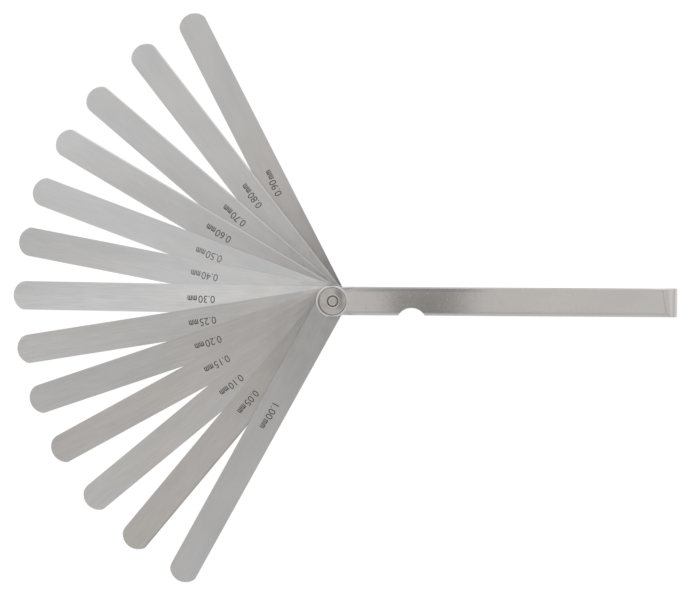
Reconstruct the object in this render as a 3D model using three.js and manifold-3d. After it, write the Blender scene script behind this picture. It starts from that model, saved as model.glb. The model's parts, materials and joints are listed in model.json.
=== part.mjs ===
// Long-leaf feeler gauge: thirteen straight steel leaves swing on one clamping screw between the two
// arms of a holder bent from a single steel strip.
// Millimetres, +Z up. The origin is on the pivot axis, at the flat outer face of the screw head.
// +X runs along the holder, from the pivot to its bend.
import * as THREE from "three";
import { mergeVertices } from "three/addons/utils/BufferGeometryUtils.js";
import Module from "manifold-3d";

const wasm = await Module();
wasm.setup();

// ---- driving dimensions ----

// Leaves: the bottom of the stack first. mark is the thickness in mm; swing is the direction of the
// leaf from the pivot, in degrees from +X, as the fan is spread at rest.
const LEAVES = [
  { mark: "0.90", swing: 117.3 },
  { mark: "0.80", swing: 128.0 },
  { mark: "0.70", swing: 139.7 },
  { mark: "0.60", swing: 149.6 },
  { mark: "0.50", swing: 159.7 },
  { mark: "0.40", swing: 169.3 },
  { mark: "0.30", swing: 179.3 },
  { mark: "0.25", swing: 189.3 },
  { mark: "0.20", swing: 198.9 },
  { mark: "0.15", swing: 209.0 },
  { mark: "0.10", swing: 219.9 },
  { mark: "0.05", swing: 230.4 },
  { mark: "1.00", swing: 241.3 },
];
const LEAF_LENGTH = 150;
const LEAF_WIDTH = 12.7;
const LEAF_TAIL = 7.7; // from the pivot back to the near end
const LEAF_END_R = 7; // both ends
const LEAF_HOLE_R = 2.6;
const SLIP = 0.03; // air between neighbours in the stack

// Holder: one strip, bent round at its far end
const STRIP_THICKNESS = 1;
const STRIP_WIDTH = 12.35;
const HOLDER_REACH = 152.1; // pivot to the outside of the bend
const BEND_FLARE = 0.2; // the strip spreads this much on each side where it is bent
const NOTCH_R = 6.76; // thumb notch through both arms
const NOTCH_X = 34.75;
const NOTCH_Y = -9.65;

// Pressed heads at the pivot end of each arm
const HEAD_R = 7.13;
const HEAD_WIDTH = 13.3; // across the flats
const POCKET_R = 6.17;
const POCKET_DEPTH = 1.1; // below the arm's face
const RIM_RISE = 0.2; // the rim round a pocket stands this much above the arm's face
const FLOOR_THICKNESS = 0.9;
const POCKET_OFFSET_X = -0.25; // the pocket sits a little off the pivot axis
const POCKET_OFFSET_Y = -0.1;
const PIVOT_HOLE_R = 2.6;

// Clamping screw and round nut
const HEAD_PROUD = 1.6; // screw head below the lower arm
const SCREW_HEAD_R = 5.7;
const KNURL_DEPTH = 0.25;
const KNURL_RIDGES = 40;
const SHOULDER_R = 2.5;
const THREAD_R = 2;
const THREAD_CHAMFER = 0.4;
const NUT_R = 5.83;
const NUT_BORE_R = 2.06;
const NUT_SINK_R = 2.86; // countersink at the outer face
const NUT_SINK_DEPTH = 0.8;
const NUT_PROUD = 0.3; // above the arm's face
const EDGE = 0.25; // small chamfers on turned pieces
const SEAT = 0.02; // air under the screw head and the nut

const ROUND_SIDES = 48;

// ---- levels along Z ----

const stackHeight = LEAVES.reduce((sum, leaf) => sum + Number(leaf.mark) + SLIP, SLIP);
const lowerOuter = HEAD_PROUD;
const lowerFloorOuter = lowerOuter + POCKET_DEPTH;
const lowerFloorInner = lowerFloorOuter + FLOOR_THICKNESS;
const upperFloorInner = lowerFloorInner + stackHeight;
const upperFloorOuter = upperFloorInner + FLOOR_THICKNESS;
const upperOuter = upperFloorOuter + POCKET_DEPTH;
const lowerInner = lowerOuter + STRIP_THICKNESS;
const upperInner = upperOuter - STRIP_THICKNESS;
const nutTop = upperOuter + NUT_PROUD;
const bendOuterR = (upperOuter - lowerOuter) / 2;
const bendInnerR = bendOuterR - STRIP_THICKNESS;
const bendZ = (upperOuter + lowerOuter) / 2;
const bendX = HOLDER_REACH - bendOuterR;

// ---- materials ----

const material = (color, roughness, metalness) =>
  new THREE.MeshStandardMaterial({ color, roughness, metalness });
const LEAF_STEEL = material(0xb9b8b5, 0.38, 1);
const HOLDER_STEEL = material(0xb4b0aa, 0.25, 1);
const NUT_STEEL = material(0xa8a49c, 0.28, 1);
const SCREW_STEEL = material(0x9c978f, 0.35, 1);

// ---- helpers ----

// A closed three.js geometry as a manifold solid.
function solidOf(geometry) {
  geometry.deleteAttribute("normal");
  geometry.deleteAttribute("uv");
  const merged = mergeVertices(geometry, 1e-4);
  const mesh = new wasm.Mesh({
    numProp: 3,
    vertProperties: merged.attributes.position.array,
    triVerts: new Uint32Array(merged.index.array),
  });
  return new wasm.Manifold(mesh);
}

// A manifold solid as a three.js geometry.
function geometryOf(solid) {
  const mesh = solid.getMesh();
  const geometry = new THREE.BufferGeometry();
  geometry.setAttribute("position", new THREE.BufferAttribute(mesh.vertProperties, 3));
  geometry.setIndex(new THREE.BufferAttribute(mesh.triVerts, 1));
  geometry.computeVertexNormals();
  return geometry;
}

// A flat shape in the XY plane, extruded up from z = low to z = high.
function plate(shape, low, high, curveSegments = ROUND_SIDES / 2) {
  const geometry = new THREE.ExtrudeGeometry(shape, {
    depth: high - low,
    bevelEnabled: false,
    curveSegments,
  });
  return geometry.translate(0, 0, low);
}

// A round column about the vertical line through (x, y).
function column(r, low, high, x = 0, y = 0) {
  const shape = new THREE.Shape().absarc(x, y, r, 0, 2 * Math.PI);
  return plate(shape, low, high);
}

// A turned piece about +Z, from [radius, z] points.
function turned(points) {
  const profile = points.map(([r, z]) => new THREE.Vector2(r, z));
  return new THREE.LatheGeometry(profile, ROUND_SIDES).rotateX(Math.PI / 2);
}

function named(name, geometry, steel) {
  const mesh = new THREE.Mesh(geometry, steel);
  mesh.name = name;
  return mesh;
}

// ---- leaves ----

// A leaf lying along +X: parallel sides, with the same arc at both ends.
function leafShape() {
  const halfWidth = LEAF_WIDTH / 2;
  const tailX = LEAF_END_R - LEAF_TAIL;
  const tipX = tailX + LEAF_LENGTH - 2 * LEAF_END_R;
  const cornerAngle = Math.asin(halfWidth / LEAF_END_R);
  const shape = new THREE.Shape();
  shape.absarc(tipX, 0, LEAF_END_R, -cornerAngle, cornerAngle);
  shape.absarc(tailX, 0, LEAF_END_R, Math.PI - cornerAngle, Math.PI + cornerAngle);
  shape.closePath();
  shape.holes.push(new THREE.Path().absarc(0, 0, LEAF_HOLE_R, 0, 2 * Math.PI));
  return shape;
}

function leaf({ mark, swing }, low) {
  const mesh = named("leaf_" + mark.replace(".", "_"), plate(leafShape(), 0, Number(mark), 12), LEAF_STEEL);
  mesh.rotation.z = THREE.MathUtils.degToRad(swing);
  mesh.position.z = low;
  return mesh;
}

function leafStack() {
  const stack = new THREE.Group();
  let low = lowerFloorInner + SLIP;
  for (const entry of LEAVES) {
    stack.add(leaf(entry, low));
    low += Number(entry.mark) + SLIP;
  }
  return stack;
}

// ---- holder ----

// The strip seen from the side: two arms joined by a half-round bend.
function bentStrip(halfWidth) {
  const back = -2 * HEAD_R;
  const shape = new THREE.Shape();
  shape.moveTo(back, lowerInner);
  shape.lineTo(back, lowerOuter);
  shape.absarc(bendX, bendZ, bendOuterR, -Math.PI / 2, Math.PI / 2);
  shape.lineTo(back, upperOuter);
  shape.lineTo(back, upperInner);
  shape.absarc(bendX, bendZ, bendInnerR, Math.PI / 2, -Math.PI / 2, true);
  shape.closePath();
  return plate(shape, -halfWidth, halfWidth).rotateX(Math.PI / 2);
}

// The outline of the arms from above, spreading a little at the bend.
function armOutline() {
  const half = STRIP_WIDTH / 2;
  const flaredX = bendX + bendOuterR / 2;
  const shape = new THREE.Shape();
  shape.moveTo(0, -half);
  shape.lineTo(bendX, -half);
  shape.lineTo(flaredX, -half - BEND_FLARE);
  shape.lineTo(HOLDER_REACH + 1, -half - BEND_FLARE);
  shape.lineTo(HOLDER_REACH + 1, half + BEND_FLARE);
  shape.lineTo(flaredX, half + BEND_FLARE);
  shape.lineTo(bendX, half);
  shape.lineTo(0, half);
  shape.closePath();
  return shape;
}

// The outline of a head from above: a disc with two flats.
function headOutline() {
  const half = HEAD_WIDTH / 2;
  const flatAngle = Math.asin(half / HEAD_R);
  const shape = new THREE.Shape();
  shape.absarc(POCKET_OFFSET_X, 0, HEAD_R, -flatAngle, flatAngle);
  shape.absarc(POCKET_OFFSET_X, 0, HEAD_R, Math.PI - flatAngle, Math.PI + flatAngle);
  shape.closePath();
  return shape;
}

function holder() {
  const top = upperOuter + 1;
  const bottom = lowerOuter - 1;
  const headPlan = solidOf(plate(headOutline(), bottom, top));
  const plan = solidOf(plate(armOutline(), bottom, top)).add(headPlan);
  let body = solidOf(bentStrip(STRIP_WIDTH)).intersect(plan);
  // Each head stands a little proud as a rim, and under its pocket it is pressed inwards, onto the leaves.
  body = body.add(solidOf(plate(headOutline(), lowerOuter - RIM_RISE, lowerFloorInner)));
  body = body.add(solidOf(plate(headOutline(), upperFloorInner, upperOuter + RIM_RISE)));
  const cuts = [
    column(POCKET_R, bottom, lowerFloorOuter, POCKET_OFFSET_X, POCKET_OFFSET_Y),
    column(POCKET_R, upperFloorOuter, top, POCKET_OFFSET_X, POCKET_OFFSET_Y),
    column(PIVOT_HOLE_R, bottom, top),
    column(NOTCH_R, bottom, top, NOTCH_X, NOTCH_Y),
  ];
  for (const cut of cuts) body = body.subtract(solidOf(cut));
  return named("holder", geometryOf(body), HOLDER_STEEL);
}

// ---- clamping screw and nut ----

// The knurled rim of the screw head, as a wavy outline.
function knurlShape() {
  const steps = KNURL_RIDGES * 2;
  const shape = new THREE.Shape();
  for (let i = 0; i < steps; i += 1) {
    const r = SCREW_HEAD_R - (i % 2) * KNURL_DEPTH;
    const angle = (i / steps) * 2 * Math.PI;
    const x = r * Math.cos(angle);
    const y = r * Math.sin(angle);
    if (i === 0) shape.moveTo(x, y);
    else shape.lineTo(x, y);
  }
  shape.closePath();
  return shape;
}

function clampScrew() {
  const headTop = lowerFloorOuter - SEAT;
  const shoulderTop = upperFloorInner + FLOOR_THICKNESS / 2; // short of the nut, so the nut can clamp
  const faceR = SCREW_HEAD_R - KNURL_DEPTH - EDGE;
  const rimR = SCREW_HEAD_R + 1;
  // The head's faces are bevelled down to below the knurl.
  const headForm = turned([
    [0, 0],
    [faceR, 0],
    [rimR, rimR - faceR],
    [rimR, headTop - (rimR - faceR)],
    [faceR, headTop],
    [0, headTop],
  ]);
  const stem = turned([
    [0, headTop / 2],
    [SHOULDER_R, headTop / 2],
    [SHOULDER_R, shoulderTop],
    [THREAD_R, shoulderTop],
    [THREAD_R, nutTop - THREAD_CHAMFER],
    [THREAD_R - THREAD_CHAMFER, nutTop],
    [0, nutTop],
  ]);
  const head = solidOf(plate(knurlShape(), 0, headTop)).intersect(solidOf(headForm));
  return named("clamp_screw", geometryOf(head.add(solidOf(stem))), SCREW_STEEL);
}

function lockNut() {
  const low = upperFloorOuter + SEAT;
  const ring = turned([
    [NUT_BORE_R, low],
    [NUT_R - EDGE, low],
    [NUT_R, low + EDGE],
    [NUT_R, nutTop - EDGE],
    [NUT_R - EDGE, nutTop],
    [NUT_SINK_R, nutTop],
    [NUT_BORE_R, nutTop - NUT_SINK_DEPTH],
    [NUT_BORE_R, low],
  ]);
  return named("lock_nut", ring, NUT_STEEL);
}

// ---- assembly ----

const gauge = new THREE.Group();
gauge.add(holder(), leafStack(), clampScrew(), lockNut());

export default gauge;
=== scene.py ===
"""Long-leaf feeler gauge: the looks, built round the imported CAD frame.

The frame is in metres. Shapes here are worked out in millimetres and scaled as they become meshes.
Every piece is placed from the frame: the CAD boxes give the levels, and the joints give each leaf's swing.
"""

import json
import math

import bmesh
import bpy
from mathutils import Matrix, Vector
from mathutils.geometry import delaunay_2d_cdt


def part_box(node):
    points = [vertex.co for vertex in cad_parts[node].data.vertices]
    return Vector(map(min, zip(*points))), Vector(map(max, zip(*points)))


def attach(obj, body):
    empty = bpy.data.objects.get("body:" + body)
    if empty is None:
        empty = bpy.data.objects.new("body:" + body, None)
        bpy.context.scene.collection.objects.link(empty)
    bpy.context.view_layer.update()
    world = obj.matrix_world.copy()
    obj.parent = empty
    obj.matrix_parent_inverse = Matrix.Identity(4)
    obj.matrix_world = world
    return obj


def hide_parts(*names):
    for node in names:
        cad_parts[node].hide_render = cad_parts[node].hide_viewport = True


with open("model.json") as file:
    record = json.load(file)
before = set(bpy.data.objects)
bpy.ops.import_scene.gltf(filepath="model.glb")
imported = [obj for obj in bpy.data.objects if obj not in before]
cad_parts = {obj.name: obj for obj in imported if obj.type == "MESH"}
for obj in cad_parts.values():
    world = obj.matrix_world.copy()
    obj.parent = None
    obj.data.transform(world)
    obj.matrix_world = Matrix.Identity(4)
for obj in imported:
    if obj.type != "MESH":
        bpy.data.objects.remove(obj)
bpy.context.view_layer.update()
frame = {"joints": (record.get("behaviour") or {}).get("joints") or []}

MM = 0.001
WELD = 0.0004  # mm: vertices closer than this are one
SHARP_ANGLE = math.radians(50)  # edges that turn more than this are shaded sharp

# ---- sizes, in mm, as in the CAD model ----

LEAF_LENGTH = 150
LEAF_WIDTH = 12.7
LEAF_TAIL = 7.7
LEAF_END_R = 7
LEAF_HOLE_R = 2.6

STRIP_HALF = 12.35 / 2
STRIP_THICKNESS = 1
HOLDER_REACH = 152.1
NOTCH_R = 6.76
NOTCH_X = 34.75
NOTCH_Y = -9.65

HEAD_R = 7.13
HEAD_HALF = 13.3 / 2
POCKET_R = 6.17
POCKET_X = -0.25
POCKET_Y = -0.1
POCKET_DEPTH = 1.1
FLOOR_THICKNESS = 0.9
RIM_RISE = 0.2
PIVOT_HOLE_R = 2.6

SHOULDER_R = 2.5
THREAD_R = 2
SCREW_HEAD_R = 5.7
SEAT = 0.02  # air above the screw's head
NUT_R = 5.83
NUT_BORE_R = 2.06
NUT_SINK_R = 2.86

# Small shapes that only the looks have
LEAF_CORNERS = (1.7, 0.7)  # rounding where the end arcs meet the straight sides: -Y side, then +Y side
LEAF_EDGE_R = 0.17  # less on the thin leaves
STRIP_EDGE_R = 0.2
HEAD_INNER_EDGE_R = 0.15
CREASE_TOP_X = 145.1  # the bend starts along a slanted line: its place at the +Y edge
CREASE_BOTTOM_X = 147.2  # and at the -Y edge
CREASE_DENT = 0.063  # depth of the hollow along that line
CREASE_WIDTH = 1.2
CREASE_BEFORE = 0.96  # the hollow is deepest this far before the line
FLARE_TOP = 0.25  # how far the strip spreads in the bend: at the +Y edge
FLARE_BOTTOM = 0.08  # and at the -Y edge
FALL_WIDTH = 2  # the strip's face falls away towards its long edges over this width
FALL_DROP = 0.04
FALL_X = (4, 10)  # it starts and is full at these places along the strip
RIM_SLOPE = 0.45  # width over which the rim round a pocket falls to the arm's face
STEP_SLOPE = 0.3  # width of the step in the inner face round a pressed head
NUT_RISE = 0.057  # the nut's face is very slightly domed
THREAD_PITCH = 0.7
KNURL_RIDGES = 60
KNURL_DEPTH = 0.28
AXIS_R = 0.001  # a turned piece's points on the axis stand this far out

# Steps round a circle
POCKET_STEPS = 96
HOLE_STEPS = 56
NUT_STEPS = 128
SCREW_STEPS = 240
# and along an arc
LEAF_END_STEPS = 40
HEAD_END_STEPS = 48
HEAD_SIDE_STEPS = 4
NOTCH_STEPS = 36

# Levels, in mm, from the frame
holder_low, holder_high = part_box("holder")
ARM_TOP = holder_high.z / MM - RIM_RISE
ARM_BOTTOM = holder_low.z / MM + RIM_RISE
BEND_R = (ARM_TOP - ARM_BOTTOM) / 2
BEND_Z = (ARM_TOP + ARM_BOTTOM) / 2


# ---- mesh helpers ----

def arc(x, y, r, start, end, steps):
    """Points along an arc, both ends included; angles in radians."""
    angles = [start + (end - start) * i / steps for i in range(steps + 1)]
    return [Vector((x + r * math.cos(a), y + r * math.sin(a))) for a in angles]


def ring(x, y, r, steps):
    """Points round a whole circle."""
    return arc(x, y, r, 0, 2 * math.pi, steps)[:-1]


def quarter(steps):
    """Angles from 0 to a quarter turn, for a rounded edge."""
    return [math.pi / 2 * i / steps for i in range(steps + 1)]


def line(a, b, step):
    """Points from a towards b, about step apart, without b."""
    a, b = Vector(a), Vector(b)
    count = max(1, round((b - a).length / step))
    return [a.lerp(b, i / count) for i in range(count)]


def moved_in(points, distance, closed):
    """The outline moved to its left by distance, with mitred corners."""
    made = []
    count = len(points)
    for i, p in enumerate(points):
        before = points[i - 1] if closed or i > 0 else None
        after = points[(i + 1) % count] if closed or i < count - 1 else None
        directions = []
        if before is not None:
            directions.append((p - before).normalized())
        if after is not None:
            directions.append((after - p).normalized())
        normals = [Vector((-d.y, d.x)) for d in directions]
        mean = sum(normals, Vector((0, 0))).normalized()
        made.append(p + mean * (distance / max(0.5, mean.dot(normals[0]))))
    return made


def inside(p, loop):
    """Whether the point lies inside the closed loop."""
    found = False
    for i, a in enumerate(loop):
        b = loop[i - 1]
        if (a.y > p.y) != (b.y > p.y):
            if p.x < a.x + (p.y - a.y) * (b.x - a.x) / (b.y - a.y):
                found = not found
    return found


def add_rows(bm, rows, closed):
    """Quads between neighbouring rows of 3D points."""
    made = [[bm.verts.new(p) for p in row] for row in rows]
    for low, high in zip(made, made[1:]):
        count = len(low)
        for i in range(count if closed else count - 1):
            j = (i + 1) % count
            bm.faces.new((low[i], low[j], high[j], high[i]))
    return made


def add_cap(bm, outer, holes, place, extra=()):
    """A surface over the region inside outer and outside the holes; place turns a 2D point into a 3D one."""
    loops = [outer, *holes]
    points, edges = [], []
    for loop in loops:
        first = len(points)
        points += loop
        edges += [(first + i, first + (i + 1) % len(loop)) for i in range(len(loop))]
    points += [p for p in extra if inside(p, outer) and not any(inside(p, h) for h in holes)]
    flat, _, triangles, *_ = delaunay_2d_cdt(points, edges, [], 1, 1e-5)
    verts = [bm.verts.new(place(p)) for p in flat]
    for triangle in triangles:
        centre = sum((flat[i] for i in triangle), Vector((0, 0))) / len(triangle)
        if inside(centre, outer) and not any(inside(centre, h) for h in holes):
            bm.faces.new([verts[i] for i in triangle])


def to_object(bm, name):
    """Welds the surfaces into one mesh, in metres, and makes its object."""
    bmesh.ops.remove_doubles(bm, verts=bm.verts, dist=WELD)
    bmesh.ops.dissolve_degenerate(bm, edges=bm.edges, dist=WELD)
    bmesh.ops.recalc_face_normals(bm, faces=bm.faces)
    bmesh.ops.scale(bm, verts=bm.verts, vec=(MM, MM, MM))
    uv = bm.loops.layers.uv.new("across")
    for face in bm.faces:
        face.smooth = True
        for loop in face.loops:
            loop[uv].uv = (loop.vert.co.y, loop.vert.co.x)
    mesh = bpy.data.meshes.new(name)
    bm.to_mesh(mesh)
    bm.free()
    mesh.set_sharp_from_angle(angle=SHARP_ANGLE)
    piece = bpy.data.objects.new(name, mesh)
    bpy.context.scene.collection.objects.link(piece)
    weighted = piece.modifiers.new("even_faces", "WEIGHTED_NORMAL")
    weighted.keep_sharp = True
    return piece


def edge_rows(r, thickness, steps):
    """(inset, level) of the rows round a plate's edge, rounded at both faces, from its top to level 0."""
    top = [(r * (1 - math.sin(a)), thickness - r * (1 - math.cos(a))) for a in quarter(steps)]
    bottom = [(r * (1 - math.cos(a)), r * (1 - math.sin(a))) for a in quarter(steps)]
    return top + bottom


def turned(name, profile, steps):
    """A turned piece from (radius, level, knurl share) rows."""
    bm = bmesh.new()
    rows = []
    for r, z, share in profile:
        row = []
        for i in range(steps):
            a = 2 * math.pi * i / steps
            cut = KNURL_DEPTH * share * abs(math.sin(KNURL_RIDGES * a / 2))
            row.append(((r - cut) * math.cos(a), (r - cut) * math.sin(a), z))
        rows.append(row)
    add_rows(bm, rows, closed=True)
    return to_object(bm, name)


def smooth(t):
    """0 to 1 with flat ends, for t from 0 to 1."""
    t = min(1, max(0, t))
    return t * t * (3 - 2 * t)


# ---- materials ----

class Nodes:
    """A material's node tree, with short ways to add what the steels here share."""

    def __init__(self, name, roughness, anisotropy=0.0, metallic=1.0):
        self.material = bpy.data.materials.new(name)
        self.material.use_nodes = True
        self.tree = self.material.node_tree
        self.shader = self.tree.nodes["Principled BSDF"]
        self.shader.inputs["Metallic"].default_value = metallic
        self.shader.inputs["Roughness"].default_value = roughness
        self.shader.inputs["Anisotropic"].default_value = anisotropy
        self.place = self.tree.nodes.new("ShaderNodeTexCoord").outputs["Object"]

    def link(self, source, node, socket):
        self.tree.links.new(source, node.inputs[socket])

    def noise(self, scale, detail=3.0, offset=(0, 0, 0), distortion=0.0):
        """Noise over object space; scale is cycles per metre along X, Y and Z."""
        mapping = self.tree.nodes.new("ShaderNodeMapping")
        mapping.inputs["Scale"].default_value = scale
        mapping.inputs["Location"].default_value = offset
        self.link(self.place, mapping, "Vector")
        noise = self.tree.nodes.new("ShaderNodeTexNoise")
        noise.inputs["Scale"].default_value = 1.0
        noise.inputs["Detail"].default_value = detail
        noise.inputs["Distortion"].default_value = distortion
        self.link(mapping.outputs["Vector"], noise, "Vector")
        return noise.outputs["Fac"]

    def ramp(self, source, low, high, to_low, to_high):
        node = self.tree.nodes.new("ShaderNodeMapRange")
        for socket, value in zip(("From Min", "From Max", "To Min", "To Max"), (low, high, to_low, to_high)):
            node.inputs[socket].default_value = value
        self.link(source, node, "Value")
        return node.outputs["Result"]

    def math(self, operation, a, b=0):
        node = self.tree.nodes.new("ShaderNodeMath")
        node.operation = operation
        for i, value in enumerate((a, b)):
            if isinstance(value, (int, float)):
                node.inputs[i].default_value = value
            else:
                self.link(value, node, i)
        return node.outputs["Value"]

    def blend(self, share, a, b):
        """Colour a where share is 0, and b where it is 1; each is a colour or a socket."""
        node = self.tree.nodes.new("ShaderNodeMix")
        node.data_type = "RGBA"
        self.link(share, node, "Factor")
        for socket, value in ((node.inputs[6], a), (node.inputs[7], b)):
            if isinstance(value, tuple):
                socket.default_value = (*value, 1)
            else:
                self.tree.links.new(value, socket)
        return node.outputs[2]

    def stops(self, share, stops):
        """A colour that runs smoothly through the (place, colour) stops."""
        node = self.tree.nodes.new("ShaderNodeValToRGB")
        node.color_ramp.interpolation = "B_SPLINE"
        elements = node.color_ramp.elements
        while len(elements) < len(stops):
            elements.new(0.5)
        for element, (place, colour) in zip(elements, stops):
            element.position = place
            element.color = (*colour, 1)
        self.link(share, node, "Fac")
        return node.outputs["Color"]

    def shaded(self, colour, share):
        """The colour times a number."""
        node = self.tree.nodes.new("ShaderNodeVectorMath")
        node.operation = "SCALE"
        self.link(colour, node, "Vector")
        self.link(share, node, "Scale")
        return node.outputs["Vector"]

    def tinted(self, colour, share, a, b):
        """The colour times a tint between a and b."""
        node = self.tree.nodes.new("ShaderNodeVectorMath")
        node.operation = "MULTIPLY"
        self.link(colour, node, 0)
        self.link(self.blend(share, a, b), node, 1)
        return node.outputs["Vector"]

    def colour(self, source):
        self.link(source, self.shader, "Base Color")

    def roughness(self, source):
        self.link(source, self.shader, "Roughness")

    def bump(self, height, distance):
        """Bump from a height, where 1 stands for distance in metres."""
        node = self.tree.nodes.new("ShaderNodeBump")
        node.inputs["Distance"].default_value = distance
        self.link(height, node, "Height")
        self.link(node.outputs["Normal"], self.shader, "Normal")

    def axes(self):
        """The object's own X, Y and Z at each point, in metres."""
        split = self.tree.nodes.new("ShaderNodeSeparateXYZ")
        self.link(self.place, split, "Vector")
        return split.outputs

    def tangent(self, kind, turn):
        """The direction that the brushing runs in: round the axis (RADIAL), or along the leaf (UV_MAP)."""
        node = self.tree.nodes.new("ShaderNodeTangent")
        node.direction_type = kind
        if kind == "RADIAL":
            node.axis = "Z"
        else:
            node.uv_map = "across"
        self.link(node.outputs["Tangent"], self.shader, "Tangent")
        self.shader.inputs["Anisotropic Rotation"].default_value = turn


def scaled(colour, share):
    return tuple(c * share for c in colour)


def warm_grey(tone, warmth):
    """A grey of reflectance tone, with less green and less blue in it the warmer it is."""
    return (tone, tone * (0.997 - 0.5 * warmth), tone * (1 - warmth))


def leaf_node(mark):
    return "leaf_" + mark.replace(".", "_")


def leaf_steel(mark, tones_with_painted_light, warmths, grain, edges, stained):
    """Ground spring steel: short fine streaks along the leaf, faint clouds, and old oil near the pivot.

    The tones are the reflectances at the four places along the leaf in TONE_PLACES, with painted shade near
    the pivot and painted differences in reflection between the leaves worked into them, and warmths how much
    warmer than grey they are. edges are what the colour is multiplied by along the -Y and the +Y edge: above
    1 it paints a highlight line there, below 1 a line of shade. stained is how strong the blue-grey stains
    near the pivot are.
    """
    seed = 10 * float(mark)
    n = Nodes("leaf_steel_" + mark.replace(".", "_"), roughness=0.34, anisotropy=0.7)
    axes = n.axes()
    wander = n.noise((60, 160, 160), 2, (seed, 2, 0))
    along = n.math("ADD", axes["X"], n.ramp(wander, 0.3, 0.7, -0.006, 0.006))
    # the base colour along the leaf: its tones carry painted shade near the pivot and painted differences in
    # reflection between the leaves
    base = n.stops(n.ramp(along, 0, LEAF_LENGTH * MM, 0, 1), [
        (x / LEAF_LENGTH, warm_grey(tone, warmth))
        for x, tone, warmth in zip(TONE_PLACES, tones_with_painted_light, warmths)
    ])
    streaks = n.noise((110, 2400, 2400), 3, (seed, 0, 0))
    broad = n.noise((16, 500, 500), 2, (seed, 5, 0))
    clouds = n.noise((34, 70, 70), 3, (seed, 9, 0))
    tints = n.noise((22, 90, 90), 2, (seed, 14, 0))
    colour = n.shaded(base, n.ramp(streaks, 0.25, 0.75, 1 - 0.07 * grain, 1 + 0.07 * grain))
    colour = n.shaded(colour, n.ramp(broad, 0.3, 0.7, 1 - 0.02 * grain, 1 + 0.02 * grain))
    colour = n.shaded(colour, n.ramp(clouds, 0.3, 0.7, 0.97, 1.03))
    near = n.ramp(axes["X"], 0.012, 0.04, 1, 0)
    stains = n.ramp(n.noise((160, 300, 300), 3, (seed, 20, 0)), 0.42, 0.65, 0, stained)
    colour = n.tinted(colour, n.math("MULTIPLY", near, stains), (1, 1, 1), (0.30, 0.36, 0.44))
    # painted edge lines: a factor above 1 paints a highlight, below 1 paints shade
    for side, share in zip((-1, 1), edges):
        if share != 1:
            out = n.math("MULTIPLY", axes["Y"], side)
            colour = n.shaded(colour, n.ramp(out, *PAINTED_EDGE_BAND, 1, share))
    n.colour(n.tinted(colour, n.ramp(tints, 0.3, 0.7, 0, 1), (1.008, 1, 0.985), (0.995, 1, 1.01)))
    n.roughness(n.math("ADD", n.ramp(streaks, 0.3, 0.7, 0.30, 0.37), n.ramp(clouds, 0.4, 0.7, 0, 0.05)))
    height = n.math("ADD", n.math("MULTIPLY", streaks, grain), n.math("MULTIPLY", broad, 0.4))
    n.bump(height, 1.6e-6)
    n.tangent("UV_MAP", 0)
    return n.material


# Places on the holder's strip, in metres as its material reads them
EDGE_TINT = (0.0038, 0.0052)  # out from the middle line, where the bluer tint starts and is full
BEND_SHADE_START = (0.1500, 0.1507)  # painted shade in a band round the bend, standing in for its darker reflection: where it starts and is full
BEND_SHADE_END = (0.1513, 0.1516)  # and where it starts to end and has ended
BEND_SHADE_FACTOR = 0.74
# Painted shade in and under the pockets: most up to the first distance from the middle level, none from the
# second
POCKET_SHADE_LEVELS = ((BEND_R - 0.9) * MM, (BEND_R - 0.5) * MM)
POCKET_SHADE_END = (0.0075, 0.009)  # along X, where it starts to end and has ended
POCKET_SHADE_SIDES = (-0.001, 0.003)  # most on the -Y side of the first, least on the +Y side of the second


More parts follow.
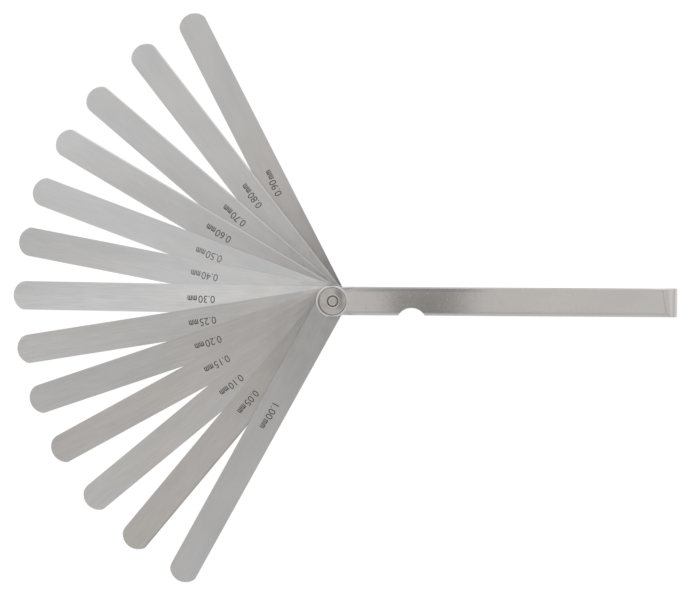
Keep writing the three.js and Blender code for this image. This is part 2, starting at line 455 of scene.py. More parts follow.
def holder_steel():
    """Plated strip, smoother than the leaves: soft clouds, thin rubbed lines, handling marks and speckle.

    It is a little bluer along its long edges; painted shade darkens a band round the bend, standing in for a
    darker reflection there, and darkens the pockets and the faces under them.
    """
    n = Nodes("holder_steel", roughness=0.06)
    axes = n.axes()
    base = (0.723, 0.698, 0.677)
    clouds = n.noise((45, 90, 90), 3, (2, 0, 0))
    rubbed = n.noise((18, 1500, 1500), 3, (4, 0, 0))
    scratches = n.noise((700, 160, 160), 2, (0, 3, 0), 1.5)
    colour = n.blend(n.ramp(clouds, 0.35, 0.7, 0, 1), scaled(base, 0.97), scaled(base, 1.03))
    colour = n.blend(n.ramp(scratches, 0.66, 0.74, 0, 0.12), colour, scaled(base, 0.8))

    near_edge = n.ramp(n.math("ABSOLUTE", axes["Y"]), *EDGE_TINT, 0, 1)
    bluer = n.math("MULTIPLY", near_edge, n.ramp(axes["X"], 0.055, 0.075, 1, 0.3))
    bluer = n.math("MAXIMUM", bluer, n.ramp(axes["X"], 0.11, 0.135, 0, 0.5))
    colour = n.tinted(colour, bluer, (1.014, 1, 0.982), (0.985, 1, 1.03))

    speckle = n.ramp(n.noise((1300, 1300, 1300), 2, (7, 0, 0)), 0.3, 0.7, 0, 1)
    speckled = n.blend(speckle, scaled(base, 0.91), scaled(base, 1.09))
    handled = n.ramp(axes["X"], 0.018, 0.026, 0.1, 0.5)
    handled = n.math("MULTIPLY", handled, n.ramp(axes["X"], 0.060, 0.070, 1, 0.3))
    colour = n.blend(handled, colour, speckled)  # most speckled round the thumb notch

    # painted shade: a darker band round the bend, standing in for the darker reflection there
    painted_bend_shade = n.ramp(axes["X"], *BEND_SHADE_START, 1, BEND_SHADE_FACTOR)
    painted_bend_shade = n.math("MAXIMUM", painted_bend_shade, n.ramp(axes["X"], *BEND_SHADE_END, BEND_SHADE_FACTOR, 1))
    colour = n.shaded(colour, painted_bend_shade)

    # painted shade in the pockets and on the inner faces under them, darkest on the -Y side
    sunk = n.math("ABSOLUTE", n.math("SUBTRACT", axes["Z"], BEND_Z * MM))
    pocket_shade = n.math("MULTIPLY", n.ramp(sunk, *POCKET_SHADE_LEVELS, 0.5, 0), n.ramp(axes["X"], *POCKET_SHADE_END, 1, 0))
    pocket_shade = n.math("MULTIPLY", pocket_shade, n.ramp(axes["Y"], *POCKET_SHADE_SIDES, 1, 0.2))
    n.colour(n.blend(pocket_shade, colour, scaled(base, 0.15)))

    rough = n.math("ADD", n.ramp(clouds, 0.3, 0.7, 0.045, 0.06), n.ramp(rubbed, 0.45, 0.7, 0, 0.015))
    n.roughness(n.math("ADD", rough, n.ramp(scratches, 0.64, 0.72, 0, 0.04)))
    height = n.math("ADD", n.math("MULTIPLY", clouds, 6), n.math("MULTIPLY", rubbed, 0.1))
    n.bump(height, 1e-6)
    return n.material


def turned_steel(name, base, roughness):
    """Steel with the fine rings that a lathe leaves, which spread highlights outwards from the axis."""
    n = Nodes(name, roughness, anisotropy=0.6)
    length = n.tree.nodes.new("ShaderNodeVectorMath")
    length.operation = "LENGTH"
    flat = n.tree.nodes.new("ShaderNodeVectorMath")
    flat.operation = "MULTIPLY"
    flat.inputs[1].default_value = (1, 1, 0)
    n.link(n.place, flat, 0)
    n.link(flat.outputs["Vector"], length, 0)
    rings = n.tree.nodes.new("ShaderNodeTexNoise")
    rings.noise_dimensions = "1D"
    rings.inputs["Scale"].default_value = 6500
    rings.inputs["Detail"].default_value = 2
    n.link(length.outputs["Value"], rings, "W")
    spots = n.noise((420, 420, 420), 3, (1, 2, 3))
    colour = n.blend(n.ramp(rings.outputs["Fac"], 0.3, 0.7, 0, 1), scaled(base, 0.9), scaled(base, 1.08))
    colour = n.blend(n.ramp(spots, 0.55, 0.75, 0, 0.5), colour, scaled(base, 0.75))
    n.colour(colour)
    n.roughness(n.ramp(spots, 0.35, 0.7, 0.9 * roughness, 1.3 * roughness))
    n.bump(rings.outputs["Fac"], 0.3e-6)
    n.tangent("RADIAL", 0.25)
    return n.material


def mark_ink(name, shade):
    """Dark electro-etched marking, slightly uneven; shade is its reflectance where it is darkest."""
    n = Nodes(name, roughness=0.55, metallic=0.4)
    patches = n.noise((2500, 2500, 2500), 2)
    dark, light = scaled((1, 1, 1.05), shade), scaled((1, 1, 1), 1.8 * shade)
    n.colour(n.blend(n.ramp(patches, 0.3, 0.7, 0, 1), dark, light))
    n.roughness(n.ramp(patches, 0.3, 0.7, 0.45, 0.65))
    return n.material


# ---- leaves ----

def rounded_corner(before, corner, after, r, steps=5):
    """The corner between two directions, rounded with radius about r."""
    back = (before - corner).normalized() * r
    ahead = (after - corner).normalized() * r
    made = []
    for i in range(steps + 1):
        t = i / steps
        made.append(corner + back * (1 - t) ** 2 + ahead * t ** 2)
    return made


def leaf_outline(right, left):
    """Anticlockwise outline of a leaf lying along +X, with its pivot at the origin.

    right and left are the roundings of its corners on the -Y and on the +Y side.
    """
    half = LEAF_WIDTH / 2
    tail_x = LEAF_END_R - LEAF_TAIL
    tip_x = tail_x + LEAF_LENGTH - 2 * LEAF_END_R
    corner = math.asin(half / LEAF_END_R)
    reach = LEAF_END_R * math.cos(corner)
    first, last = right / LEAF_END_R - corner, corner - left / LEAF_END_R
    tip = arc(tip_x, 0, LEAF_END_R, first, last, LEAF_END_STEPS)
    tail = arc(tail_x, 0, LEAF_END_R, math.pi - last, math.pi - first, LEAF_END_STEPS)
    corners = [
        rounded_corner(tip[-1], Vector((tip_x + reach, half)), Vector((0, half)), left),
        rounded_corner(Vector((tip_x, half)), Vector((tail_x - reach, half)), tail[0], left),
        rounded_corner(tail[-1], Vector((tail_x - reach, -half)), Vector((tip_x, -half)), right),
        rounded_corner(Vector((0, -half)), Vector((tip_x + reach, -half)), tip[0], right),
    ]
    top = line(corners[0][-1], corners[1][0], 12)[1:]
    bottom = line(corners[2][-1], corners[3][0], 12)[1:]
    return tip[1:-1] + corners[0] + top + corners[1] + tail[1:-1] + corners[2] + bottom + corners[3]


def make_leaf(mark, swing, low, high, corners, steel):
    """One leaf, between the levels low and high, lying at its place in the fan."""
    node = leaf_node(mark)
    thickness = high - low
    r = min(LEAF_EDGE_R, 0.4 * thickness)
    outline = leaf_outline(*corners)
    hole = arc(0, 0, LEAF_HOLE_R, 2 * math.pi, 0, HOLE_STEPS)[:-1]  # clockwise: moved in, it is wider
    rows = edge_rows(r, thickness, 3)
    bm = bmesh.new()
    for loop in (outline, hole):
        add_rows(bm, [[(p.x, p.y, z) for p in moved_in(loop, inset, True)] for inset, z in rows], True)
    for inset, z in (rows[0], rows[-1]):
        edge, hole_edge = moved_in(outline, inset, True), moved_in(hole, inset, True)
        add_cap(bm, edge, [hole_edge], lambda p, z=z: (p.x, p.y, z))
    piece = to_object(bm, node + "_ground")
    piece.location.z = low * MM
    piece.rotation_euler.z = math.radians(swing)
    piece.data.materials.append(steel)
    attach(piece, node)
    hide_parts(node)


# ---- thickness marks ----

NUMBER_SIZE = (7.3, 3.25)  # mm along and across the leaf
UNIT_HEIGHT = 2.15
UNIT_STROKE = 0.42
UNIT_SPACE = 0.34  # between a letter's legs
UNIT_APART = 0.28  # between the two letters
UNIT_GAP = 0.7
MARK_THICKNESS = 0.006
MARK_CLEAR = 0.001  # above the leaf's face


def lettering(text, width, height):
    """A flat closed mesh of the text in the built-in font, filling the box that starts at the origin."""
    curve = bpy.data.curves.new("lettering", "FONT")
    curve.body = text
    curve.extrude = MARK_THICKNESS / 2
    curve.resolution_u = 5
    carrier = bpy.data.objects.new("lettering", curve)
    bpy.context.scene.collection.objects.link(carrier)
    bpy.context.view_layer.update()
    evaluated = carrier.evaluated_get(bpy.context.evaluated_depsgraph_get())
    mesh = bpy.data.meshes.new_from_object(evaluated)
    bpy.data.objects.remove(carrier)
    bpy.data.curves.remove(curve)
    low_x, high_x = (f(v.co.x for v in mesh.vertices) for f in (min, max))
    low_y, high_y = (f(v.co.y for v in mesh.vertices) for f in (min, max))
    for v in mesh.vertices:
        v.co.x = (v.co.x - low_x) * width / (high_x - low_x)
        v.co.y = (v.co.y - low_y) * height / (high_y - low_y)
    return mesh


def letter_m(x):
    """Outline of a plain m that starts at x: three legs under a bar, rounded at its upper right."""
    legs = [x + i * (UNIT_STROKE + UNIT_SPACE) for i in range(3)]
    under = UNIT_HEIGHT - UNIT_STROKE
    points = []
    for i, leg in enumerate(legs):
        right = leg + UNIT_STROKE
        points += [Vector((leg, 0)), Vector((right, 0))]
        if i < 2:
            points += arc(right + UNIT_SPACE / 2, under - UNIT_SPACE / 2, UNIT_SPACE / 2, math.pi, 0, 8)
    corner_r = 1.6 * UNIT_STROKE
    points += arc(legs[2] + UNIT_STROKE - corner_r, UNIT_HEIGHT - corner_r, corner_r, 0, math.pi / 2, 8)
    return points + [Vector((x, UNIT_HEIGHT))]


def make_mark(mark, swing, high, start, baseline, ink):
    """The leaf's thickness and its unit, on its upper face and read from the pivot outwards."""
    node = leaf_node(mark)
    digits = lettering(mark, *NUMBER_SIZE)
    bm = bmesh.new()
    bm.from_mesh(digits)
    letter_x = NUMBER_SIZE[0] + UNIT_GAP
    for _ in range(2):
        outline = letter_m(letter_x)
        add_rows(bm, [[(p.x, p.y, z * MARK_THICKNESS / 2) for p in outline] for z in (1, -1)], True)
        for z in (1, -1):
            add_cap(bm, outline, [], lambda p, z=z: (p.x, p.y, z * MARK_THICKNESS / 2))
        letter_x += 3 * UNIT_STROKE + 2 * UNIT_SPACE + UNIT_APART
    bmesh.ops.translate(bm, verts=bm.verts, vec=(start, baseline, 0))
    piece = to_object(bm, "mark_" + mark.replace(".", "_"))
    piece.location.z = (high + MARK_THICKNESS / 2 + MARK_CLEAR) * MM
    piece.rotation_euler.z = math.radians(swing)
    piece.data.materials.append(ink)
    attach(piece, node)
    bpy.data.meshes.remove(digits)


# ---- holder ----

def crease_x(y):
    """Where the bend starts, across the strip."""
    share = (y + STRIP_HALF) / (2 * STRIP_HALF)
    return CREASE_BOTTOM_X + (CREASE_TOP_X - CREASE_BOTTOM_X) * share


def from_pocket(p):
    return math.hypot(p[0] - POCKET_X, p[1] - POCKET_Y)


def pocket_ring(r):
    return ring(POCKET_X, POCKET_Y, r, POCKET_STEPS)


def edge_fall(p):
    """How far the strip's outer face has fallen away near its long edges; the head's has not."""
    share = max(0, 1 - (STRIP_HALF - abs(p[1])) / FALL_WIDTH)
    return FALL_DROP * share * share * smooth((p[0] - FALL_X[0]) / (FALL_X[1] - FALL_X[0]))


def dent(p):
    """The faint hollow along the crease where the bend starts."""
    away = (p[0] - crease_x(p[1]) + CREASE_BEFORE) / CREASE_WIDTH
    return CREASE_DENT * math.exp(-away * away)


def outer_depth(p):
    """Depth of the outer face below the arm's plane: the rim round the pocket stands proud of it."""
    rise = smooth((HEAD_R + 0.02 - from_pocket(p)) / RIM_SLOPE)
    return edge_fall(p) + dent(p) - RIM_RISE * rise


def inner_depth(p):
    """Depth of the inner face: deeper under the pocket, where it is pressed onto the leaves."""
    drop = smooth((HEAD_R + 0.4 - from_pocket(p)) / STEP_SLOPE)
    pressed = POCKET_DEPTH + FLOOR_THICKNESS - STRIP_THICKNESS
    return STRIP_THICKNESS + pressed * drop


# The strip's mesh, in mm: the places of its points along X, and the lines along the strip that they lie on
PLACES = range(9, 143, 2)
OUTWARDS = [1, 2, 3, *[STRIP_HALF - d for d in (2, 1.8, 1.5, 1.2, 0.9, 0.6, 0.35)]]
LINES = [*[-y for y in reversed(OUTWARDS)], 0, *OUTWARDS]
# and where it has more: out from the pocket's radius, out from the head's radius, and back from the crease
RIM_PLACES = (0.34, 0.42, 0.5, 0.58, 0.66, 0.74, 0.82, 0.9, 0.98, 1.1, 1.3)
STEP_PLACES = (0.1, 0.2, 0.3, 0.4, 0.6)
CREASE_PLACES = (0.1, 0.3, 0.5, 0.7, 0.9, 1.2, 1.5, 1.8, 2.2, 2.6, 3.2)
# The pocket's wall, as (out from its radius, down from the rim), and its foot, as (out, up from its floor)
POCKET_WALL = ((0.26, 0), (0.18, 0.015), (0.1, 0.06), (0.04, 0.13), (0.01, 0.22), (0, 0.32))
POCKET_FOOT = ((0, 0.15), (-0.04, 0.04), (-0.15, 0))
HOLE_EDGE = 0.06  # chamfer at both ends of the pivot hole
BAND = 0.1  # width of the narrow band of faces that follows the rounded edge
BAND_CLEAR = 0.24  # the other points keep this far from that edge
EDGE_STEPS = 5  # steps round each of the strip's rounded edges
BEND_STEPS = 100


def along_edge(start, end_x):
    """Points along a straight edge of the strip, from start and without the end."""
    low, high = sorted((start.x, end_x))
    places = [x for x in PLACES if low + 0.5 < x < high - 0.5]
    if end_x < start.x:
        places.reverse()
    return [start] + [Vector((x, start.y)) for x in places]


def arm_outline():
    """From the bend along the +Y edge, round the head and back along the -Y edge with its thumb notch."""
    join = math.acos(STRIP_HALF / HEAD_R)
    join_x = POCKET_X + HEAD_R * math.sin(join)
    flat = math.asin(HEAD_HALF / HEAD_R)
    rise = math.asin(STRIP_HALF / HEAD_R)
    notch = math.asin((-STRIP_HALF - NOTCH_Y) / NOTCH_R)
    notch_half = NOTCH_R * math.cos(notch)
    top = along_edge(Vector((crease_x(STRIP_HALF), STRIP_HALF)), join_x)
    upper = arc(POCKET_X, 0, HEAD_R, rise, flat, HEAD_SIDE_STEPS)
    back = arc(POCKET_X, 0, HEAD_R, math.pi - flat, math.pi + flat, HEAD_END_STEPS)
    under = arc(POCKET_X, 0, HEAD_R, -flat, -rise, HEAD_SIDE_STEPS)
    upper_flat = line(upper[-1], back[0], 0.8)[1:]
    lower_flat = line(back[-1], under[0], 0.8)[1:]
    to_notch = along_edge(under[-1], NOTCH_X - notch_half)[1:]
    cut = arc(NOTCH_X, NOTCH_Y, NOTCH_R, math.pi - notch, notch, NOTCH_STEPS)
    end = Vector((crease_x(-STRIP_HALF), -STRIP_HALF))
    to_end = along_edge(cut[-1], end.x)[1:] + [end]
    return top + upper + upper_flat + back + lower_flat + under + to_notch + cut + to_end


def edge_row(outline, inset):
    """The outline moved in, with both its ends kept on the crease."""
    row = moved_in(outline, inset, False)
    for end in (0, -1):
        row[end] = Vector((crease_x(row[end].y), row[end].y))
    return row


def crossing(rising):
    """Points along the crease between an arm's two edges, from -Y to +Y if rising."""
    return [Vector((crease_x(y), y)) for y in (LINES if rising else LINES[::-1])]


def add_arm(bm, face, inwards):
    """One arm: its outer face is at level face, and depth runs inwards (+1 up or -1 down)."""
    def at(depth_of, added=0.0):
        return lambda p: (p[0], p[1], face + inwards * (depth_of(p) + added))

    def level(points, depth):
        return [(p.x, p.y, face + inwards * depth) for p in points]

    outline = arm_outline()
    rows = []
    for a in quarter(EDGE_STEPS):
        row = edge_row(outline, STRIP_EDGE_R * (1 - math.sin(a)))
        rows.append([at(outer_depth, STRIP_EDGE_R * (1 - math.cos(a)))(p) for p in row])
    for a in quarter(EDGE_STEPS):
        row = edge_row(outline, HEAD_INNER_EDGE_R * (1 - math.cos(a)))
        rows.append([at(inner_depth, HEAD_INNER_EDGE_R * (math.sin(a) - 1))(p) for p in row])
    add_rows(bm, rows, closed=False)

    # the outer face
    pocket_edge = pocket_ring(POCKET_R + POCKET_WALL[0][0])
    rim = [p for out in RIM_PLACES for p in pocket_ring(POCKET_R + out)]
    near_bend = [Vector((crease_x(y) - back, y)) for back in CREASE_PLACES for y in LINES]
    along = [Vector((x, y)) for x in PLACES for y in LINES]
    outer = edge_row(outline, STRIP_EDGE_R)
    band = edge_row(outline, STRIP_EDGE_R + BAND)[1:-1]
    clear = edge_row(outline, STRIP_EDGE_R + BAND_CLEAR) + crossing(True)
    extra = band + [p for p in rim + near_bend + along if inside(p, clear)]
    add_cap(bm, outer + crossing(True), [pocket_edge], at(outer_depth), extra)

    # the inner face, which steps inwards round the pressed head
    inner = edge_row(outline, HEAD_INNER_EDGE_R)
    hole_edge = ring(0, 0, PIVOT_HOLE_R + HOLE_EDGE, HOLE_STEPS)
    step = [p for out in STEP_PLACES for p in pocket_ring(HEAD_R + out)]
    add_cap(bm, inner + crossing(True), [hole_edge], at(inner_depth), step)

    # the pocket, and the hole through its floor
    pocket_rows = [
        [at(outer_depth, down)(p) for p in pocket_ring(POCKET_R + out)]
        for out, down in POCKET_WALL
    ]
    for out, up in POCKET_FOOT:
        pocket_rows.append(level(pocket_ring(POCKET_R + out), POCKET_DEPTH - up))
    add_rows(bm, pocket_rows, closed=True)
    floor_edge = pocket_ring(POCKET_R + POCKET_FOOT[-1][0])
    add_cap(bm, floor_edge, [hole_edge], lambda p: (p[0], p[1], face + inwards * POCKET_DEPTH))

    bottom = POCKET_DEPTH + FLOOR_THICKNESS
    hole = ring(0, 0, PIVOT_HOLE_R, HOLE_STEPS)
    hole_rows = [
        level(hole_edge, POCKET_DEPTH),
        level(hole, POCKET_DEPTH + HOLE_EDGE),
        level(hole, bottom - HOLE_EDGE),
        level(hole_edge, bottom),
    ]
    add_rows(bm, hole_rows, closed=True)


def add_bend(bm):
    """The bend: the strip's section swept half round, spreading a little at the edges."""
    outline = arm_outline()
    sides = []
    for end in (0, -1):
        side = []
        for a in quarter(EDGE_STEPS):
            p = edge_row(outline, STRIP_EDGE_R * (1 - math.sin(a)))[end]
            side.append((p.y, edge_fall(p) + STRIP_EDGE_R * (1 - math.cos(a)), 1))
        for a in quarter(EDGE_STEPS):
            p = edge_row(outline, HEAD_INNER_EDGE_R * (1 - math.cos(a)))[end]
            side.append((p.y, STRIP_THICKNESS + HEAD_INNER_EDGE_R * (math.sin(a) - 1), 0))
        sides.append(side)
    upper, lower = sides
    # (y, depth, whether it is on the outer face) round the strip, from the +Y edge's outer face
    section = upper + [(p.y, STRIP_THICKNESS, 0) for p in crossing(False)]
    section += lower[::-1] + [(p.y, edge_fall(p), 1) for p in crossing(True)]
    rows = []
    for i in range(BEND_STEPS + 1):
        turn = math.pi * i / BEND_STEPS
        spread = smooth(math.sin(turn) / 0.9)
        row = []
        for y, depth, outer in section:
            start = crease_x(y)
            below = depth + outer * dent((start + (HOLDER_REACH - start) * math.sin(turn), y))
            grown = y * (1 + spread * (FLARE_TOP if y > 0 else FLARE_BOTTOM) / STRIP_HALF)
            x = start + (HOLDER_REACH - start - below) * math.sin(turn)
            row.append((x, grown, BEND_Z + (BEND_R - below) * math.cos(turn)))
        rows.append(row)
    add_rows(bm, rows, closed=True)


def make_holder():
    """Both arms and the bend, welded into one mesh."""
    bm = bmesh.new()
    add_arm(bm, ARM_TOP, -1)
    add_arm(bm, ARM_BOTTOM, 1)
    add_bend(bm)
    piece = to_object(bm, "holder_strip")
    piece.data.materials.append(holder_steel())
    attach(piece, "holder")
    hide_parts("holder")


# ---- nut and screw ----

def make_nut():
    """The round nut: a chamfered disc with a countersunk bore."""
    low, high = (corner.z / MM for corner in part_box("lock_nut"))
    profile = [
        (NUT_BORE_R, low + 0.1),
        (NUT_BORE_R + 0.1, low),
        (NUT_R - 0.2, low),
        (NUT_R, low + 0.2),
        (NUT_R, high - 0.26 - NUT_RISE),
        (NUT_R - 0.03, high - 0.13 - NUT_RISE),
        (NUT_R - 0.11, high - 0.04 - NUT_RISE),
        (NUT_R - 0.24, high - NUT_RISE),
        (NUT_SINK_R + 0.08, high),
        (NUT_SINK_R, high - 0.03),
        (NUT_SINK_R - 0.36, high - 0.4),
        (NUT_BORE_R + 0.05, high - 0.85),
        (NUT_BORE_R, high - 0.9),
        (NUT_BORE_R, low + 0.1),
    ]
    piece = turned("lock_nut_turned", [(r, z, 0) for r, z in profile], NUT_STEPS)
    piece.data.materials.append(turned_steel("nut_steel", (0.642, 0.608, 0.577), 0.075))
    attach(piece, "holder")
    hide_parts("lock_nut")


def make_screw():
    """The clamping screw: knurled head, smooth shoulder for the leaves, and a threaded end with a dimple."""
    low, high = (corner.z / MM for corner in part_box("clamp_screw"))
    head_high = ARM_BOTTOM + POCKET_DEPTH - SEAT
    shoulder_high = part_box("leaf_1_00")[1].z / MM + 0.4  # ends inside the upper floor
    face_r = SCREW_HEAD_R - 0.55
    # rows of (radius, level, knurl share)
    profile = [
        (AXIS_R, low, 0),
        (face_r, low, 0),
        (face_r + 0.12, low + 0.03, 0),
        (SCREW_HEAD_R - 0.12, low + 0.34, 0.3),
        (SCREW_HEAD_R, low + 0.5, 1),
        (SCREW_HEAD_R, head_high - 0.5, 1),
        (SCREW_HEAD_R - 0.12, head_high - 0.34, 0.3),
        (face_r, head_high, 0),
        (SHOULDER_R, head_high, 0),
        (SHOULDER_R, shoulder_high - 0.15, 0),
        (SHOULDER_R - 0.15, shoulder_high, 0),
        (THREAD_R - 0.25, shoulder_high, 0),
    ]
    turns = int((high - 0.35 - shoulder_high) / THREAD_PITCH)
    for i in range(turns):
        z = shoulder_high + i * THREAD_PITCH
        profile += [
            (THREAD_R - 0.28, z + 0.08, 0),
            (THREAD_R, z + 0.32, 0),
            (THREAD_R, z + 0.42, 0),
            (THREAD_R - 0.28, z + 0.66, 0),
        ]
    profile += [
        (THREAD_R - 0.05, high - 0.34, 0),
        (THREAD_R - 0.2, high - 0.12, 0),
        (THREAD_R - 0.5, high - 0.02, 0),
        (1.0, high, 0),
        (0.55, high - 0.01, 0),
        (0.3, high - 0.09, 0),
        (AXIS_R, high - 0.12, 0),
    ]
    piece = turned("clamp_screw_turned", profile, SCREW_STEPS)
    piece.data.materials.append(turned_steel("screw_steel", (0.58, 0.555, 0.52), 0.2))
    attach(piece, "clamp_screw")
    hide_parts("clamp_screw")


# ---- each leaf's look: its own colour, with painted light worked in ----

TONE_PLACES = (12, 42, 72, 132)  # mm from the pivot
# Reflectance at those places, with painted shade near the pivot and painted differences in reflection between
# the leaves worked in, warmth at those places, strength of the grain, and where the mark starts, in mm
LOOKS = {
    "0.90": ((0.30, 0.58, 0.65, 0.70), (0.08, 0.08, 0.06, 0.01), 0.3, (52.6, -1.4)),
    "0.80": ((0.52, 0.62, 0.68, 0.72), (0.04, 0.05, 0.03, 0.00), 0.4, (52.9, -1.3)),
    "0.70": ((0.48, 0.62, 0.65, 0.715), (0.04, 0.05, 0.03, 0.00), 0.4, (51.9, -1.6)),
    "0.60": ((0.53, 0.635, 0.625, 0.75), (0.04, 0.04, 0.03, 0.00), 0.5, (53.0, -1.3)),
    "0.50": ((0.74, 0.67, 0.735, 0.725), (0.00, 0.00, 0.00, 0.00), 0.5, (52.8, -1.3)),
    "0.40": ((0.76, 0.745, 0.74, 0.635), (0.01, 0.00, 0.00, 0.01), 0.8, (52.2, -1.7)),
    "0.30": ((0.84, 0.825, 0.81, 0.715), (0.03, 0.02, 0.00, 0.00), 1.0, (52.5, -1.3)),
    "0.25": ((0.68, 0.60, 0.61, 0.665), (0.06, 0.05, 0.04, 0.05), 1.0, (52.6, -1.4)),
    "0.20": ((0.60, 0.565, 0.58, 0.605), (0.09, 0.08, 0.05, 0.04), 0.9, (52.4, -1.5)),
    "0.15": ((0.50, 0.595, 0.615, 0.585), (0.08, 0.09, 0.08, 0.07), 0.9, (52.6, -1.6)),
    "0.10": ((0.47, 0.585, 0.615, 0.65), (0.08, 0.08, 0.07, 0.04), 0.8, (52.5, -1.4)),
    "0.05": ((0.44, 0.505, 0.61, 0.59), (0.05, 0.09, 0.09, 0.08), 0.8, (52.6, -1.6)),
    "1.00": ((0.50, 0.535, 0.60, 0.605), (0.05, 0.04, 0.04, 0.01), 0.5, (52.3, -1.5)),
}
TURNED_OVER = ("0.90", "0.80", "0.70", "0.60", "0.50", "0.40")  # these lie with their other face up
# Painted highlight lines (above 1) and a painted line of shade (below 1) along a leaf's -Y and +Y edges: what
# they multiply its colour by
PAINTED_EDGE_LIGHT = {"0.05": (1, 0.8), "0.60": (1.24, 1), "0.70": (1.24, 1), "0.80": (1.2, 1)}
PAINTED_EDGE_BAND = (0.0055, 0.0059)  # where the painted edge lines start and are full, in metres from the leaf's middle line
STAINS = {"0.70": 0.35, "0.80": 0.35}  # strength of the stains near the pivot
USUAL_STAINS = 0.15
FAINT_MARKS = ("0.50", "0.40")


def make_leaves():
    """All the leaves with their marks; a hinge's lower limit is the folded place, along +X."""
    ink = mark_ink("mark_ink", 0.055)
    faint_ink = mark_ink("mark_ink_faint", 0.12)
    swings = {j["child"]: -j["range_deg"][0] for j in frame["joints"]}
    for mark, (tones_with_painted_light, warmths, grain, start) in LOOKS.items():
        swing = swings[leaf_node(mark)]
        low, high = (corner.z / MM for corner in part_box(leaf_node(mark)))
        corners = LEAF_CORNERS[::-1] if mark in TURNED_OVER else LEAF_CORNERS
        edges, stained = PAINTED_EDGE_LIGHT.get(mark, (1, 1)), STAINS.get(mark, USUAL_STAINS)
        steel = leaf_steel(mark, tones_with_painted_light, warmths, grain, edges, stained)
        make_leaf(mark, swing, low, high, corners, steel)
        make_mark(mark, swing, high, *start, faint_ink if mark in FAINT_MARKS else ink)


# ---- stage ----

TABLE_HALF = 12000
TABLE_GAP = 0.2  # below the gauge
# Brightness of the sky
SKY_OVERHEAD = 0.66
SKY_SIDES = 1.0
SKY_FAR_SIDE = 0.7  # times this on the +X side
SKY_HORIZON = 0.85  # and times this at the horizon
# Dark things overhead, by the slopes X/Z and Y/Z of the directions to them. Each range is where it starts,
# where it is full, where it starts to end and where it has ended; the last value is the light it takes away.
CAMERA_BODY = ((-0.043, -0.001, 0.016, 0.032), (-0.031, -0.018, 0.035, 0.07), 0.55)
CAMERA_LENS = ((-0.017, -0.011, 0.010, 0.029), (-0.095, -0.065, -0.028, -0.018), 0.55)
CAMERA_RAIL = ((-2.0, -1.9, 1.9, 2.0), (-0.08, -0.068, -0.052, -0.044), 0.18)


def make_floor():
    """A plain white table, lit evenly enough to stay white under the gauge."""
    bm = bmesh.new()
    rows = [[(x, y, -TABLE_GAP) for x in (-TABLE_HALF, TABLE_HALF)] for y in (-TABLE_HALF, TABLE_HALF)]
    add_rows(bm, rows, closed=False)
    floor = to_object(bm, "floor")
    n = Nodes("white_table", roughness=0.9, metallic=0)
    n.shader.inputs["Base Color"].default_value = (0.1, 0.1, 0.1, 1)
    n.shader.inputs["Specular IOR Level"].default_value = 0
    n.shader.inputs["Emission Color"].default_value = (1, 1, 1, 1)
    n.shader.inputs["Emission Strength"].default_value = 0.95
    floor.data.materials.append(n.material)


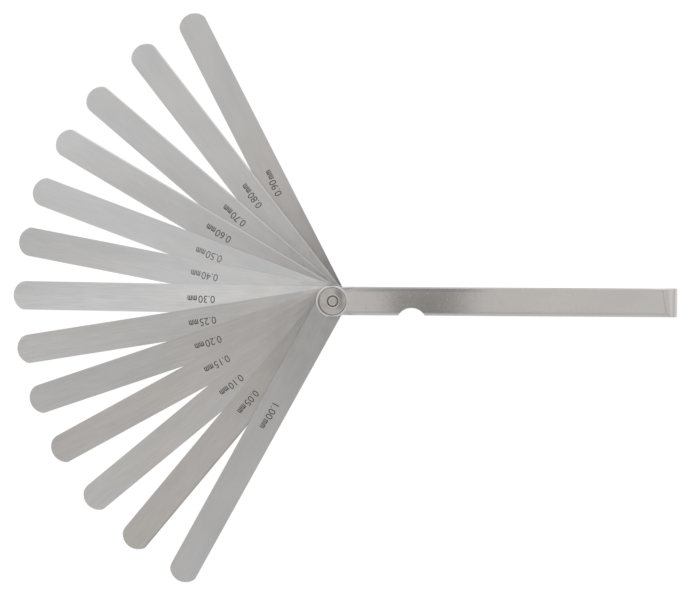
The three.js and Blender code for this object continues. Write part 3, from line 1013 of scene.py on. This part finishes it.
def make_sky():
    """A white studio: dimmer overhead, on the +X side and at the horizon, and darkest at the camera."""
    world = bpy.data.worlds.new("studio")
    bpy.context.scene.world = world
    world.use_nodes = True
    tree = world.node_tree

    def add(kind, operation, *sources):
        node = tree.nodes.new(kind)
        if operation:
            node.operation = operation
        for i, source in enumerate(sources):
            if isinstance(source, bpy.types.NodeSocket):
                tree.links.new(source, node.inputs[i])
            else:
                node.inputs[i].default_value = source
        return node

    def combined(operation, a, b):
        return add("ShaderNodeMath", operation, a, b).outputs["Value"]

    def eased(source, low, high, to_low, to_high):
        node = add("ShaderNodeMapRange", None, source, low, high, to_low, to_high)
        node.interpolation_type = "SMOOTHSTEP"
        return node.outputs["Result"]

    direction = tree.nodes.new("ShaderNodeTexCoord").outputs["Generated"]
    split = add("ShaderNodeSeparateXYZ", None, direction)
    overhead = eased(split.outputs["Z"], 0.6, 0.985, SKY_SIDES, SKY_OVERHEAD)
    overhead = combined("MULTIPLY", overhead, eased(split.outputs["Z"], 0, 0.35, SKY_HORIZON, 1))
    far_side = eased(split.outputs["X"], 0.1, 0.75, 1, SKY_FAR_SIDE)
    slopes = [combined("DIVIDE", split.outputs[axis], split.outputs["Z"]) for axis in "XY"]
    dark = 0.0
    for *ranges, share in (CAMERA_BODY, CAMERA_LENS, CAMERA_RAIL):
        cover = eased(split.outputs["Z"], 0.5, 0.51, 0, share)
        for slope, (start, full, ending, ended) in zip(slopes, ranges):
            cover = combined("MULTIPLY", cover, eased(slope, start, full, 0, 1))
            cover = combined("MULTIPLY", cover, eased(slope, ending, ended, 1, 0))
        dark = combined("MAXIMUM", dark, cover)
    strength = combined("MULTIPLY", combined("MULTIPLY", overhead, far_side), combined("SUBTRACT", 1.0, dark))
    tree.links.new(strength, tree.nodes["Background"].inputs["Strength"])
    tree.nodes["Background"].inputs["Color"].default_value = (1, 1, 1, 1)


KEY_PLACE = (1.1, 1.0, 0.95)  # metres
KEY_SIZE = 2.6
KEY_WATTS = 1.5


def make_key():
    """One large soft light, turned towards the pivot."""
    data = bpy.data.lights.new("key", "AREA")
    data.shape = "SQUARE"
    data.size = KEY_SIZE
    data.energy = KEY_WATTS
    light = bpy.data.objects.new("key", data)
    light.location = KEY_PLACE
    light.rotation_euler = (-Vector(KEY_PLACE)).to_track_quat("-Z", "Y").to_euler()
    light.visible_camera = False
    bpy.context.scene.collection.objects.link(light)


# ---- camera: almost straight down, tilted by two degrees each way ----

CAMERA_PLACE = (38.95, 34.95, 1002)  # mm
CAMERA_TURN = (-1.977, 1.897, 0.293)  # degrees
LENS = 116.55
SENSOR = 36


def make_camera():
    data = bpy.data.cameras.new("camera")
    data.lens = LENS
    data.sensor_width = SENSOR
    camera = bpy.data.objects.new("camera", data)
    camera.location = [c * MM for c in CAMERA_PLACE]
    camera.rotation_euler = [math.radians(a) for a in CAMERA_TURN]
    bpy.context.scene.collection.objects.link(camera)
    bpy.context.scene.camera = camera


make_camera()
make_sky()
make_key()
make_floor()
make_holder()
make_leaves()
make_nut()
make_screw()
bpy.context.scene.view_settings.view_transform = "Standard"
